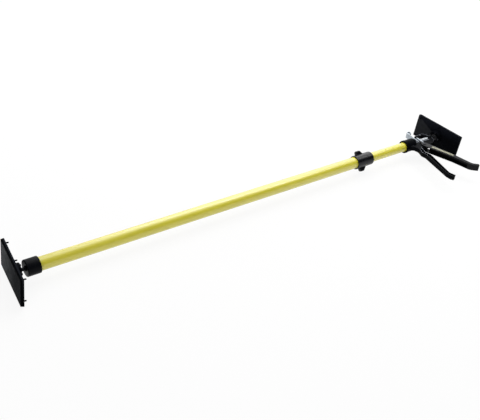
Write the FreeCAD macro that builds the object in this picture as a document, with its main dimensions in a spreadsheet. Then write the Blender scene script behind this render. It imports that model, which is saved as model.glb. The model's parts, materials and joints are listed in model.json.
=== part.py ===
"""Drywall support prop: two telescopic tubes, a twist lock, a pump head and a swivel plate at each end.

Millimetres. The prop lies along X from the foot's contact face (x = 0) to the head's, with its axis on X.
The fixed handle and the trigger point to -Y, and the plates' long edges run along Y.
"""
import FreeCAD, Part
import math
import os
import re
import Sketcher

Vector = FreeCAD.Vector

# driving sizes: name, value in millimetres or degrees, what it is
SIZES = (
    ("prop_length", 1596, "contact face to contact face, tubes and rod as in the photo"),
    ("fit", 0.05, "running fit on a radius"),
    ("gap", 0.3, "clearance between pieces that pass each other"),
    ("outer_dia", 38, "outer tube"),
    ("outer_wall", 1.2, "outer tube"),
    ("outer_length", 1170, "outer tube"),
    ("inner_dia", 32, "inner tube"),
    ("inner_wall", 1.2, "inner tube"),
    ("plunge", 155, "shortening left in the telescope"),
    ("rivet_clear", 3, "foot rivet to the guide ring, with the prop at its shortest"),
    ("plate_length", 183.5, "swivel plate along Y"),
    ("plate_width", 85, "swivel plate along Z"),
    ("plate_thick", 4.6, "swivel plate at its rim"),
    ("plate_corner", 2.5, "corner radius of the swivel plate"),
    ("plate_rim", 5, "flat rim round the ridged back"),
    ("plate_rise", 5, "height of the ridged back at the hub"),
    ("pad_thick", 4.6, "pad under the swivel plate"),
    ("pad_inset", 0.6, "pad edge inside the plate edge"),
    ("nub_dia", 4, "nub of the pad"),
    ("nub_height", 9, "nub above the plate's rim"),
    ("nub_inset", 8, "nub row from the plate's edges"),
    ("ball_stand", 20, "contact face to ball centre"),
    ("ball_dia", 20, "swivel ball"),
    ("neck_dia", 10, "neck of a ball stud"),
    ("liner_wall", 2, "ball liner"),
    ("liner_bottom", 8, "ball centre to the liner's open bottom"),
    ("hub_dia", 42, "hub of a swivel plate"),
    ("socket_lip", 5, "ball centre to the top of the retainer ring"),
    ("screw_dia", 3, "retainer screw"),
    ("screw_head_dia", 5.4, "retainer screw head"),
    ("screw_head_height", 1.8, "retainer screw head"),
    ("screw_depth", 7, "retainer screw into the hub"),
    ("screw_circle", 33.5, "circle of the retainer screws"),
    ("foot_turn", -7.2, "turn of the foot plate on its ball, about Z"),
    ("foot_tip", 2.6, "tip of the foot plate about its long side"),
    ("foot_roll", 0, "roll of the foot plate about its normal"),
    ("head_turn", 7, "turn of the head plate on its ball, about Z"),
    ("head_tip", -0.8, "tip of the head plate about its long side"),
    ("head_roll", -2.5, "roll of the head plate about its normal"),
    ("stud_reach", 18, "ball centre to the seat of the stud's flange"),
    ("flange_dia", 15, "flange of a ball stud"),
    ("flange_thick", 3, "flange of a ball stud"),
    ("shank_dia", 6, "shank of the head stud in the push rod"),
    ("shank_length", 12, "shank of the head stud in the push rod"),
    ("foot_collar_length", 37, "foot collar"),
    ("foot_collar_wall", 4.2, "foot collar round the tube"),
    ("foot_end_wall", 8, "closed end of the foot collar"),
    ("nut_flats", 17, "nut of the foot stud"),
    ("nut_height", 8, "nut of the foot stud"),
    ("stud_over", 2, "stud past its nut"),
    ("rivet_dia", 4, "collar rivet"),
    ("rivet_head_dia", 8, "collar rivet"),
    ("rivet_head_height", 1.6, "collar rivet"),
    ("sleeve_wall", 1.6, "clamp sleeve on the outer tube"),
    ("sleeve_overlap", 31, "clamp sleeve on the outer tube"),
    ("sleeve_step", 6, "solid ring of the sleeve past the tube end"),
    ("finger_length", 20, "fingers of the clamp sleeve"),
    ("finger_wall", 2.6, "fingers of the clamp sleeve"),
    ("finger_slot", 2.5, "slot between fingers"),
    ("jam_length", 6, "jam ring"),
    ("jam_wall", 3.4, "jam ring"),
    ("jam_split", 3, "split of the jam ring"),
    ("twist_wall", 1.7, "twist collar over the sleeve"),
    ("twist_skirt", 0.8, "twist collar past the sleeve, toward the foot"),
    ("twist_end_wall", 7, "closed end of the twist collar"),
    ("twist_shoulder", 4, "rounded shoulder of the twist collar"),
    ("twist_taper", 0.5, "twist collar, smaller radius at its upper end"),
    ("wing_start", 13, "wings from the twist collar's lower end"),
    ("wing_length", 17, "wing along the tube, at its tip"),
    ("wing_slope", 32, "longer at its root, on the upper side"),
    ("wing_reach", 34.5, "wing tip from the axis"),
    ("wing_thick", 12, "wing"),
    ("wing_round", 7, "corner of a wing"),
    ("wing_turn", 55, "turn of the wings at rest"),
    ("plug_length", 16, "tube plug inside the inner tube"),
    ("plug_journal_dia", 26, "tube plug under the guide ring"),
    ("plug_flange", 4, "tube plug below the guide ring"),
    ("ring_length", 9, "guide ring"),
    ("head_reach", 180, "head collar's lower edge to the head contact face"),
    ("collar_wall", 6, "head collar round the inner tube"),
    ("collar_lip", 7, "thicker lip at the head collar's lower edge"),
    ("collar_step", 0.9, "height of that lip"),
    ("socket_depth", 38, "inner tube inside the head collar"),
    ("collar_end", 8, "closed end of the head collar"),
    ("block_length", 14, "rear block between the collar and the window"),
    ("window_length", 58, "window of the head frame"),
    ("front_wall", 16, "wall in front of the window"),
    ("frame_thick", 15, "head frame and fixed handle along Z"),
    ("rail_top", 10.5, "axis to the lower rail of the window"),
    ("window_top", 22, "axis to the inner face of the hook"),
    ("hook_thick", 6.5, "hook of the frame"),
    ("hook_gap", 23, "open length between the rear block and the hook"),
    ("nose_half", 17, "half height of the frame's front face"),
    ("boss_dia", 24, "round boss of the front wall"),
    ("lug_dia", 26, "lug round the trigger pin"),
    ("pivot_drop", 30, "axis to the trigger pin"),
    ("pivot_ahead", 10, "trigger pin ahead of the rear block"),
    ("fulcrum_rise", 6, "fulcrum on the rear block's front face"),
    ("fulcrum_high", 15, "axis to the fulcrum"),
    ("fulcrum_thick", 6, "fulcrum along Y"),
    ("handle_web", 6, "web between the recesses of the handle"),
    ("handle_rim", 2.6, "rim round the recesses of the handle"),
    ("neck_x", 28.5, "handle neck from the collar's lower edge"),
    ("neck_drop", 67, "handle neck below the axis"),
    ("neck_half", 6.5, "half width of the handle neck"),
    ("grip_x", 33.3, "top of the grip from the collar's lower edge"),
    ("grip_drop", 86, "top of the grip below the axis"),
    ("grip_half", 8, "half width of the grip"),
    ("wrist_x", 5, "lower grip from the collar's lower edge"),
    ("wrist_drop", 201, "lower grip below the axis"),
    ("wrist_half", 5.4, "half width of the lower grip"),
    ("tip_x", 12, "handle tip from the collar's lower edge"),
    ("tip_drop", 225, "handle tip below the axis"),
    ("rod_dia", 10, "push rod"),
    ("rod_length", 330, "push rod"),
    ("stop_dia", 20, "end stop of the push rod"),
    ("stop_length", 10, "end stop of the push rod"),
    ("bush_dia", 14, "front bush of the push rod"),
    ("bush_flange", 1.5, "flange of the front bush"),
    ("pin_dia", 6, "trigger pin"),
    ("pin_head_dia", 10.5, "trigger pin"),
    ("pin_head_height", 1.8, "trigger pin"),
    ("clip_dia", 11, "clip on the trigger pin"),
    ("clip_thick", 1, "clip on the trigger pin"),
    ("flange_wall", 3, "side walls of the trigger"),
    ("web_wall", 3, "front wall of the trigger"),
    ("horn_reach", 17, "trigger pin to the centre of a horn's tip"),
    ("horn_radius", 4, "round tip of a horn"),
    ("root_radius", 10, "trigger round its pin"),
    ("arm_x", 35, "trigger arm's bend ahead of the pin"),
    ("arm_drop", 105, "trigger arm's bend below the pin"),
    ("arm_half", 7.4, "half width of the trigger arm"),
    ("heel_x", 50, "trigger's lower bend ahead of the pin"),
    ("heel_drop", 169, "trigger's lower bend below the pin"),
    ("heel_half", 5.2, "half width there"),
    ("toe_x", 69, "trigger tip ahead of the pin"),
    ("toe_drop", 188, "trigger tip below the pin"),
    ("web_start", 18, "front wall of the trigger starts this far below the pin"),
    ("strip_length", 80, "plain strip on the trigger"),
    ("strip_width", 10, "plain strip on the trigger"),
    ("strip_thick", 0.5, "plain strip on the trigger"),
    ("strip_start", 30, "strip from the trigger pin"),
    ("drive_thick", 4, "drive plate"),
    ("drive_top", 15, "axis to the drive plate's top"),
    ("drive_leg", 9, "legs of the drive plate below the rail's top"),
    ("drive_half", 11, "half width of the drive plate"),
    ("release_thick", 2.5, "release plate"),
    ("release_half", 10, "half width of the release plate"),
    ("release_tilt", 8, "tilt of the release plate at rest"),
    ("release_tail", 23, "fulcrum to the release plate's lower end"),
    ("eye_high", 39, "fulcrum to the centre of the rolled eye"),
    ("eye_radius", 8, "rolled eye of the release plate"),
    ("spring_dia", 14.2, "mean diameter of the springs"),
    ("wire_dia", 3, "return spring wire"),
    ("wire_turns", 8, "return spring"),
    ("release_wire", 1.6, "release spring wire"),
    ("release_turns", 2, "release spring"),
)

# places worked out from the sizes
PLACES = {
    "foot_ball_x": "ball_stand / cos(foot_turn) / cos(foot_tip)",
    "head_ball_x": "prop_length - ball_stand / cos(head_turn) / cos(head_tip)",
    "foot_seat_x": "foot_ball_x + stud_reach",
    "outer_start_x": "foot_seat_x + foot_end_wall",
    "outer_end_x": "outer_start_x + outer_length",
    "sleeve_radius": "outer_dia / 2 + sleeve_wall",
    "sleeve_length": "sleeve_overlap + sleeve_step + finger_length",
    "bore_radius": "inner_dia / 2 + fit",
    "jam_start": "sleeve_length + gap",
    "twist_radius": "sleeve_radius + gap + twist_wall",
    "twist_length": "twist_skirt + jam_start + jam_length + gap + twist_end_wall",
    "twist_x": "outer_end_x - sleeve_overlap - twist_skirt",
    "frame_x": "prop_length - head_reach",
    "foot_rivet_x": "outer_start_x + (foot_collar_length - foot_end_wall) / 2",
    "inner_start_x": "foot_rivet_x + rivet_dia / 2 + rivet_clear + plunge + ring_length + gap",
    "inner_length": "frame_x + socket_depth - inner_start_x",
    "collar_radius": "inner_dia / 2 + collar_wall - collar_step",
    "collar_length": "socket_depth + collar_end",
    "block_end": "collar_length + block_length",
    "window_end": "block_end + window_length",
    "frame_length": "window_end + front_wall",
    "rod_front_x": "head_ball_x - stud_reach",
    "pivot_x": "block_end + pivot_ahead",
    "trigger_half": "frame_thick / 2 + gap + flange_wall",
    "drive_x": "pivot_x + horn_radius + gap",
    "liner_radius": "ball_dia / 2 + fit + liner_wall",
    "socket_radius": "liner_radius + fit",
    "fulcrum_x": "block_end + fulcrum_rise",
    "release_side": "fulcrum_high - spring_dia / 2 - release_wire / 2",
    "release_face": "fulcrum_x + fit + release_thick / cos(release_tilt)",
    "release_front": "release_face + fit - release_side * tan(release_tilt)",
}

doc = FreeCAD.newDocument("DrywallProp")
dims = doc.addObject("Spreadsheet::Sheet", "dims")
for row, (alias, value, note) in enumerate(SIZES, 1):
    dims.set("A%d" % row, note)
    dims.set("B%d" % row, str(value))
    dims.setAlias("B%d" % row, alias)
doc.recompute()

ALIASES = {alias for alias, value, note in SIZES}
WORD = re.compile(r"[a-z_]+")
pieces = []


def spelled(text, prefix="dims."):
    """Write an expression with its places spelled out in cells of the sheet."""
    def word(match):
        name = match.group()
        if name in PLACES:
            return "(" + spelled(PLACES[name], prefix) + ")"
        return prefix + name if name in ALIASES else name
    return WORD.sub(word, text)


def number(text):
    """Value of an expression with the sheet as it stands."""
    return float(dims.evalExpression(spelled(text, "")))


def bind(thing, **sizes):
    """Bind properties of a document object to expressions."""
    for name, text in sizes.items():
        thing.setExpression(name, spelled(text))


def place_on_ball(thing, x, turned, tipped, rolled):
    """Put a piece on a ball centre, turned about Z, tipped about its own Y and rolled about its own X."""
    text = "placement(vector(%s; 0; 0); rotation(%s; %s; %s))" % (x, turned, tipped, rolled)
    thing.setExpression("Placement", spelled(text))


def place(thing, x="0", y="0", z="0", axis=None, angle=None):
    """Put a piece at a bound place, with a bound turn about an axis."""
    if axis:
        thing.Placement = FreeCAD.Placement(Vector(), FreeCAD.Rotation(Vector(*axis), number(angle)))
        thing.setExpression("Placement.Rotation.Angle", spelled(angle))
    for name, text in (("x", x), ("y", y), ("z", z)):
        if text != "0":
            thing.setExpression("Placement.Base." + name, spelled(text))


def piece(label):
    """New body that becomes one file."""
    body = doc.addObject("PartDesign::Body", label)
    body.Label = label
    pieces.append(body)
    return body


def sketch_on(body, role, offset=None):
    """Sketch on one of the body's origin planes, moved along the plane's normal by a bound offset."""
    sketch = body.newObject("Sketcher::SketchObject", body.Label + "_sketch")
    plane = next(item for item in body.Origin.OriginFeatures if item.Role == role)
    sketch.AttachmentSupport = [(plane, "")]
    sketch.MapMode = "FlatFace"
    if offset:
        sketch.setExpression("AttachmentOffset.Base.z", spelled(offset))
    return sketch


def hold(sketch, wanted):
    """Add constraints, each given with the expression that drives it or with None."""
    first = sketch.ConstraintCount
    sketch.addConstraint([constraint for constraint, text in wanted])
    for index, (constraint, text) in enumerate(wanted, first):
        if text:
            sketch.setExpression("Constraints[%d]" % index, spelled(text))


def at(geometry, point, u, v):
    """Constraints that hold one point of a sketch at bound coordinates."""
    return [(Sketcher.Constraint(kind, -1, 1, geometry, point, number(text)), text)
            for kind, text in (("DistanceX", u), ("DistanceY", v))]


def outline(sketch, corners):
    """Closed outline through bound corners (u, v), with an arc where a corner gives a radius too."""
    points = [Vector(number(corner[0]), number(corner[1]), 0) for corner in corners]
    count = len(points)
    bends = []
    for i, corner in enumerate(corners):
        radius = number(corner[2]) if len(corner) == 3 else 0
        back = (points[i - 1] - points[i]).normalize()
        ahead = (points[(i + 1) % count] - points[i]).normalize()
        half = back.getAngle(ahead) / 2
        run = radius / math.tan(half)
        centre = points[i] + ((back + ahead).normalize() * (radius / math.sin(half)) if radius else Vector())
        bends.append((points[i] + back * run, points[i] + ahead * run, centre, ahead.cross(back).z > 0))
    lines = []
    for i in range(count):
        lines.append(sketch.addGeometry(Part.LineSegment(bends[i][1], bends[(i + 1) % count][0])))
    wanted = []
    for i, corner in enumerate(corners):
        before, after = lines[i - 1], lines[i]
        if len(corner) == 2:
            wanted.append((Sketcher.Constraint("Coincident", before, 2, after, 1), None))
            wanted += at(after, 1, corner[0], corner[1])
            continue
        start, end, centre, left = bends[i]
        around = Part.Circle(centre, Vector(0, 0, 1), number(corner[2]))
        sides = [around.parameter(side) for side in ((start, end) if left else (end, start))]
        arc = sketch.addGeometry(Part.ArcOfCircle(around, *sides))
        point = sketch.addGeometry(Part.Point(points[i]), True)
        wanted += [(Sketcher.Constraint("Tangent", before, 2, arc, 1 if left else 2), None),
                   (Sketcher.Constraint("Tangent", after, 1, arc, 2 if left else 1), None),
                   (Sketcher.Constraint("Radius", arc, number(corner[2])), corner[2]),
                   (Sketcher.Constraint("PointOnObject", point, 1, before), None),
                   (Sketcher.Constraint("PointOnObject", point, 1, after), None)]
        wanted += at(point, 1, corner[0], corner[1])
    hold(sketch, wanted)
    return sketch


def box(sketch, left, right, low, high):
    """Rectangle with bound sides."""
    return outline(sketch, ((left, low), (right, low), (right, high), (left, high)))


def circle(sketch, u, v, dia):
    """Circle with a bound centre and diameter."""
    centre = Vector(number(u), number(v), 0)
    index = sketch.addGeometry(Part.Circle(centre, Vector(0, 0, 1), number(dia) / 2))
    hold(sketch, at(index, 3, u, v) + [(Sketcher.Constraint("Diameter", index, number(dia)), dia)])
    return sketch


def feature(body, kind, sketch, **sizes):
    """Sketch-based feature with bound sizes."""
    made = body.newObject("PartDesign::" + kind, body.Label + "_" + kind.lower())
    made.Profile = sketch
    bind(made, **sizes)
    return made


def pad(body, sketch, length, middle=False):
    """Pad, one way or half each way."""
    made = feature(body, "Pad", sketch, Length=length)
    made.Midplane = middle
    return made


def cut(body, sketch, length, middle=False, back=False):
    """Pocket of a bound depth, half each way or on the plane's front side."""
    made = feature(body, "Pocket", sketch, Length=length)
    made.Midplane = middle
    made.Reversed = back
    return made


def turn(body, corners, kind="Revolution"):
    """Revolve a profile of (x, radius) corners round the body's X axis, as material or as a cut."""
    sketch = outline(sketch_on(body, "XY_Plane"), corners)
    made = feature(body, kind, sketch)
    made.ReferenceAxis = (sketch, ["H_Axis"])
    made.Angle = 360
    return made


def pattern(body, features, count):
    """Repeat features round the body's X axis."""
    made = body.newObject("PartDesign::PolarPattern", body.Label + "_pattern")
    made.Originals = features
    made.Axis = (features[0].Profile[0], ["N_Axis"])
    made.Angle = 360
    made.Occurrences = count
    body.Tip = made
    return made


def round_edges(body, radius, wanted):
    """Fillet the edges of the body's tip that a test picks."""
    doc.recompute()
    tip = body.Tip
    names = ["Edge%d" % (i + 1) for i, edge in enumerate(tip.Shape.Edges) if wanted(edge)]
    made = body.newObject("PartDesign::Fillet", body.Label + "_fillet")
    made.Base = (tip, names)
    bind(made, Radius=radius)
    return made


def tube(label, dia, wall, length, x):
    """Round tube along X with its rivet hole left to the caller."""
    body = piece(label)
    sketch = circle(circle(sketch_on(body, "YZ_Plane"), "0", "0", dia), "0", "0", dia + " - 2 * " + wall)
    pad(body, sketch, length)
    place(body, x=x)
    return body


def rivet_hole(body, along, reach):
    """Hole on the far side (+Y) for a collar rivet."""
    sketch = circle(sketch_on(body, "XZ_Plane"), along, "0", "rivet_dia")
    return cut(body, sketch, reach)


def rivet(label, x, seat, depth):
    """Blind rivet along +Y, its domed head on a collar of the given radius."""
    body = piece(label)
    turn(body, (("-(" + depth + ")", "0"), ("-(" + depth + ")", "rivet_dia / 2"), ("0", "rivet_dia / 2"),
                ("0", "rivet_head_dia / 2"), ("rivet_head_height / 2", "rivet_head_dia / 2"),
                ("rivet_head_height", "rivet_head_dia / 4"), ("rivet_head_height", "0")))
    place(body, x=x, y=seat, axis=(0, 0, 1), angle="90")
    return body


def swivel(name, x, turned, tipped, rolled):
    """Plate, pad, liner, retainer and screws round a ball; local +X points from the pad to the stud."""
    plate_back = "-ball_stand + pad_thick + plate_thick"

    plate = piece(name + "_plate")
    half = ("plate_length / 2", "plate_width / 2")
    pad(plate, rounded(sketch_on(plate, "YZ_Plane", "-ball_stand + pad_thick"), half, "0"), "plate_thick")
    low = sketch_on(plate, "YZ_Plane", plate_back)
    box(low, "-plate_length / 2 + plate_rim", "plate_length / 2 - plate_rim",
        "-plate_width / 2 + plate_rim", "plate_width / 2 - plate_rim")
    high = sketch_on(plate, "YZ_Plane", plate_back + " + plate_rise")
    box(high, "-hub_dia / 2", "hub_dia / 2", "-hub_dia / 4", "hub_dia / 4")
    ridge = feature(plate, "AdditiveLoft", low)
    ridge.Sections = [high]
    ridge.Ruled = True
    turn(plate, ((plate_back, "0"), ("0", "0"), ("0", "hub_dia / 2"), (plate_back, "hub_dia / 2")))
    hollow = sketch_on(plate, "XY_Plane")
    half_disc(hollow, "socket_radius")
    socket = feature(plate, "Groove", hollow)
    socket.ReferenceAxis = (hollow, ["H_Axis"])
    socket.Angle = 360
    holes = sketch_on(plate, "YZ_Plane", "-ball_stand + pad_thick")
    nubs(holes, "nub_dia + 2 * fit")
    cut(plate, holes, "plate_thick + plate_rise + 1", back=True)
    pilot = circle(sketch_on(plate, "YZ_Plane"), "screw_circle / 2", "0", "screw_dia")
    pilot_hole = cut(plate, pilot, "screw_depth")
    pattern(plate, [pilot_hole], 4)

    sole = piece(name + "_pad")
    inner = ("plate_length / 2", "plate_width / 2")
    pad(sole, rounded(sketch_on(sole, "YZ_Plane", "-ball_stand"), inner, "pad_inset"), "pad_thick")
    stems = sketch_on(sole, "YZ_Plane", "-ball_stand + pad_thick")
    nubs(stems, "nub_dia")
    pad(sole, stems, "plate_thick + nub_height")

    liner = piece(name + "_liner")
    ring = sketch_on(liner, "XY_Plane")
    zone(ring, "ball_dia / 2 + fit", "liner_radius", "-liner_bottom", "socket_lip - 0.5")
    shell = feature(liner, "Revolution", ring)
    shell.ReferenceAxis = (ring, ["H_Axis"])
    shell.Angle = 360

    retainer = piece(name + "_retainer")
    turn(retainer, (("0", "0"), ("socket_lip", "0"), ("socket_lip", "hub_dia / 2", "1.5"),
                    ("0", "hub_dia / 2")))
    inside = sketch_on(retainer, "XY_Plane")
    half_disc(inside, "socket_radius")
    opening = feature(retainer, "Groove", inside)
    opening.ReferenceAxis = (inside, ["H_Axis"])
    opening.Angle = 360
    through = circle(sketch_on(retainer, "YZ_Plane"), "screw_circle / 2", "0", "screw_dia")
    screw_hole = cut(retainer, through, "socket_lip + 1", back=True)
    pattern(retainer, [screw_hole], 4)

    screws = piece(name + "_screws")
    places = ("screw_circle / 2", "0")
    shank = pad(screws, circle(sketch_on(screws, "YZ_Plane", "-screw_depth"), *places, "screw_dia"),
                "screw_depth + socket_lip")
    head = pad(screws, circle(sketch_on(screws, "YZ_Plane", "socket_lip"), *places, "screw_head_dia"),
               "screw_head_height")
    drive = sketch_on(screws, "YZ_Plane", "socket_lip + screw_head_height")
    box(drive, "screw_circle / 2 - screw_head_dia / 3", "screw_circle / 2 + screw_head_dia / 3",
        "-screw_dia / 7", "screw_dia / 7")
    slot = cut(screws, drive, "screw_head_height / 2")
    pattern(screws, [shank, head, slot], 4)

    for body in (plate, sole, liner, retainer, screws):
        place_on_ball(body, x, turned, tipped, rolled)


def rounded(sketch, half, inset):
    """Rounded rectangle about the origin, its half sides brought in by an inset."""
    across, along = (side + " - " + inset for side in half)
    corner = "plate_corner"
    left, low = ("-(" + side + ")" for side in (across, along))
    return outline(sketch, ((left, low, corner), (across, low, corner),
                            (across, along, corner), (left, along, corner)))


def nubs(sketch, dia):
    """Two rows of three round nubs near the plate's long edges."""
    for u in ("-plate_length / 2 + nub_inset + plate_rim", "0", "plate_length / 2 - nub_inset - plate_rim"):
        for v in ("-plate_width / 2 + nub_inset", "plate_width / 2 - nub_inset"):
            circle(sketch, u, v, dia)


def half_disc(sketch, radius):
    """Half disc on the X axis, for a sphere."""
    size = number(radius)
    arc = sketch.addGeometry(Part.ArcOfCircle(Part.Circle(Vector(), Vector(0, 0, 1), size), 0, math.pi))
    line = sketch.addGeometry(Part.LineSegment(Vector(-size, 0, 0), Vector(size, 0, 0)))
    hold(sketch, [(Sketcher.Constraint("Coincident", arc, 3, -1, 1), None),
                  (Sketcher.Constraint("Coincident", arc, 2, line, 1), None),
                  (Sketcher.Constraint("Coincident", arc, 1, line, 2), None),
                  (Sketcher.Constraint("PointOnObject", arc, 1, -1), None),
                  (Sketcher.Constraint("PointOnObject", arc, 2, -1), None),
                  (Sketcher.Constraint("Radius", arc, size), radius)])
    return sketch


def zone(sketch, inner, outer, low, high):
    """Section of a spherical shell between two planes across the X axis."""
    arcs = []
    wanted = []
    for radius in (inner, outer):
        size = number(radius)
        start, end = math.acos(number(high) / size), math.acos(number(low) / size)
        arc = sketch.addGeometry(Part.ArcOfCircle(Part.Circle(Vector(), Vector(0, 0, 1), size), start, end))
        wanted += [(Sketcher.Constraint("Coincident", arc, 3, -1, 1), None),
                   (Sketcher.Constraint("Radius", arc, size), radius)]
        arcs.append(arc)
    for end, level in ((1, high), (2, low)):
        ends = [(sketch.Geometry[arc].StartPoint, sketch.Geometry[arc].EndPoint)[end - 1] for arc in arcs]
        line = sketch.addGeometry(Part.LineSegment(*ends))
        wanted += [(Sketcher.Constraint("Coincident", arcs[0], end, line, 1), None),
                   (Sketcher.Constraint("Coincident", arcs[1], end, line, 2), None),
                   (Sketcher.Constraint("Vertical", line), None),
                   (Sketcher.Constraint("DistanceX", -1, 1, line, 1, number(level)), level)]
    hold(sketch, wanted)
    return sketch


def spring(label, start, end, wire, turns):
    """Coil round the rod between two places along X."""
    body = piece(label)
    sketch = circle(sketch_on(body, "XY_Plane"), wire + " / 2", "spring_dia / 2", wire)
    coil = body.newObject("PartDesign::AdditiveHelix", label + "_coil")
    coil.Profile = sketch
    coil.ReferenceAxis = (sketch, ["H_Axis"])
    coil.Mode = "height-turns-growth"
    coil.Growth = 0
    bind(coil, Height="(" + end + ") - (" + start + ") - " + wire, Turns=turns)
    place(body, x="frame_x + " + start)
    return body


def ball_stud(label, length, dia, x, angle=None):
    """Ball, neck, flange and a shank of the given size; local +X points away from the plate."""
    body = piece(label)
    ball = sketch_on(body, "XY_Plane")
    half_disc(ball, "ball_dia / 2")
    sphere = feature(body, "Revolution", ball)
    sphere.ReferenceAxis = (ball, ["H_Axis"])
    sphere.Angle = 360
    turn(body, (("0", "0"), ("0", "neck_dia / 2"), ("stud_reach - flange_thick", "neck_dia / 2"),
                ("stud_reach - flange_thick", "flange_dia / 2"), ("stud_reach", "flange_dia / 2"),
                ("stud_reach", dia + " / 2"), ("stud_reach + " + length, dia + " / 2"),
                ("stud_reach + " + length, "0")))
    place(body, x=x, axis=(0, 0, 1) if angle else None, angle=angle)
    return body


# lower tube with its collar and foot stud
outer_tube = tube("outer_tube", "outer_dia", "outer_wall", "outer_length", "outer_start_x")
rivet_hole(outer_tube, "(foot_collar_length - foot_end_wall) / 2", "outer_dia")

foot_collar = piece("foot_collar")
turn(foot_collar, (("0", "neck_dia / 2"), ("0", "outer_dia / 2 + foot_collar_wall", "2"),
                   ("foot_collar_length", "outer_dia / 2 + foot_collar_wall", "1"),
                   ("foot_collar_length", "outer_dia / 2"), ("foot_end_wall", "outer_dia / 2"),
                   ("foot_end_wall", "neck_dia / 2")))
rivet_hole(foot_collar, "foot_end_wall + (foot_collar_length - foot_end_wall) / 2", "outer_dia")
place(foot_collar, x="foot_seat_x")

rivet("foot_rivet", "foot_rivet_x", "outer_dia / 2 + foot_collar_wall", "foot_collar_wall + outer_wall + 1")
ball_stud("foot_ball_stud", "foot_end_wall + nut_height + stud_over", "neck_dia", "foot_ball_x")

foot_nut = piece("foot_nut")
hexagon = sketch_on(foot_nut, "YZ_Plane")
outline(hexagon, tuple(("nut_flats / sqrt(3) * cos(%d)" % turned, "nut_flats / sqrt(3) * sin(%d)" % turned)
                       for turned in range(0, 360, 60)))
circle(hexagon, "0", "0", "neck_dia")
pad(foot_nut, hexagon, "nut_height")
place(foot_nut, x="outer_start_x")

swivel("foot", "foot_ball_x", "foot_turn", "foot_tip", "foot_roll")

# twist lock
clamp_sleeve = piece("clamp_sleeve")
turn(clamp_sleeve, (("0", "outer_dia / 2"), ("0", "sleeve_radius"),
                    ("sleeve_overlap + sleeve_step", "sleeve_radius"),
                    ("sleeve_overlap + sleeve_step", "bore_radius + finger_wall"),
                    ("sleeve_length", "bore_radius + finger_wall", "1"), ("sleeve_length", "bore_radius"),
                    ("sleeve_overlap", "bore_radius"), ("sleeve_overlap", "outer_dia / 2")))
slit = sketch_on(clamp_sleeve, "XY_Plane")
box(slit, "sleeve_overlap + sleeve_step + finger_slot", "sleeve_length + 1",
    "-finger_slot / 2", "finger_slot / 2")
slots = cut(clamp_sleeve, slit, "outer_dia", back=True)
slot_pattern = clamp_sleeve.newObject("PartDesign::PolarPattern", "clamp_sleeve_pattern")
slot_pattern.Originals = [slots]
slot_pattern.Axis = (slit, ["H_Axis"])
slot_pattern.Angle = 360
slot_pattern.Occurrences = 6
clamp_sleeve.Tip = slot_pattern
place(clamp_sleeve, x="outer_end_x - sleeve_overlap")

jam_ring = piece("jam_ring")
turn(jam_ring, (("0", "bore_radius"), ("0", "bore_radius + jam_wall"),
                ("jam_length", "bore_radius + jam_wall / 2"), ("jam_length", "bore_radius")))
split = box(sketch_on(jam_ring, "XY_Plane"), "-1", "jam_length + 1", "-jam_split / 2", "jam_split / 2")
cut(jam_ring, split, "outer_dia")
place(jam_ring, x="outer_end_x - sleeve_overlap + jam_start")

twist_collar = piece("twist_collar")
turn(twist_collar, (("0", "0"), ("0", "twist_radius", "1"), ("twist_skirt * 2", "twist_radius"),
                    ("twist_length", "twist_radius - twist_taper", "twist_shoulder"), ("twist_length", "0")))
wings = outline(sketch_on(twist_collar, "XY_Plane"),
                (("wing_start", "-wing_reach", "wing_round"),
                 ("wing_start + wing_length", "-wing_reach", "wing_round"),
                 ("wing_start + wing_length + wing_slope", "0"),
                 ("wing_start + wing_length", "wing_reach", "wing_round"),
                 ("wing_start", "wing_reach", "wing_round")))
pad(twist_collar, wings, "wing_thick", middle=True)
round_edges(twist_collar, "wing_thick / 4", lambda edge: edge.BoundBox.YMax > number("twist_radius + 4")
            or edge.BoundBox.YMin < -number("twist_radius + 4"))
turn(twist_collar, (("-1", "0"), ("-1", "sleeve_radius + gap"),
                    ("twist_skirt + sleeve_overlap + sleeve_step + gap", "sleeve_radius + gap"),
                    ("twist_skirt + sleeve_length", "bore_radius + jam_wall + gap"),
                    ("twist_skirt + jam_start", "bore_radius + jam_wall + gap"),
                    ("twist_skirt + jam_start + jam_length + gap", "bore_radius + jam_wall / 2 + gap"),
                    ("twist_skirt + jam_start + jam_length + gap", "bore_radius + gap"),
                    ("twist_length + 1", "bore_radius + gap"), ("twist_length + 1", "0")), "Groove")
place(twist_collar, x="twist_x", axis=(1, 0, 0), angle="wing_turn")

# inner tube and what guides it
inner_tube = tube("inner_tube", "inner_dia", "inner_wall", "inner_length", "inner_start_x")
rivet_hole(inner_tube, "inner_length - socket_depth / 2", "inner_dia")

tube_plug = piece("tube_plug")
turn(tube_plug, (("-ring_length - 2 * gap - plug_flange", "0"),
                 ("-ring_length - 2 * gap - plug_flange", "inner_dia / 2", "1"),
                 ("-ring_length - 2 * gap", "inner_dia / 2"),
                 ("-ring_length - 2 * gap", "plug_journal_dia / 2"),
                 ("0", "plug_journal_dia / 2"), ("0", "inner_dia / 2 - inner_wall"),
                 ("plug_length", "inner_dia / 2 - inner_wall", "1"), ("plug_length", "0")))
place(tube_plug, x="inner_start_x")

guide_ring = piece("guide_ring")
turn(guide_ring, (("-ring_length - gap", "plug_journal_dia / 2 + fit"),
                  ("-ring_length - gap", "outer_dia / 2 - outer_wall - fit"),
                  ("-gap", "outer_dia / 2 - outer_wall - fit"), ("-gap", "plug_journal_dia / 2 + fit")))
place(guide_ring, x="inner_start_x")

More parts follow.
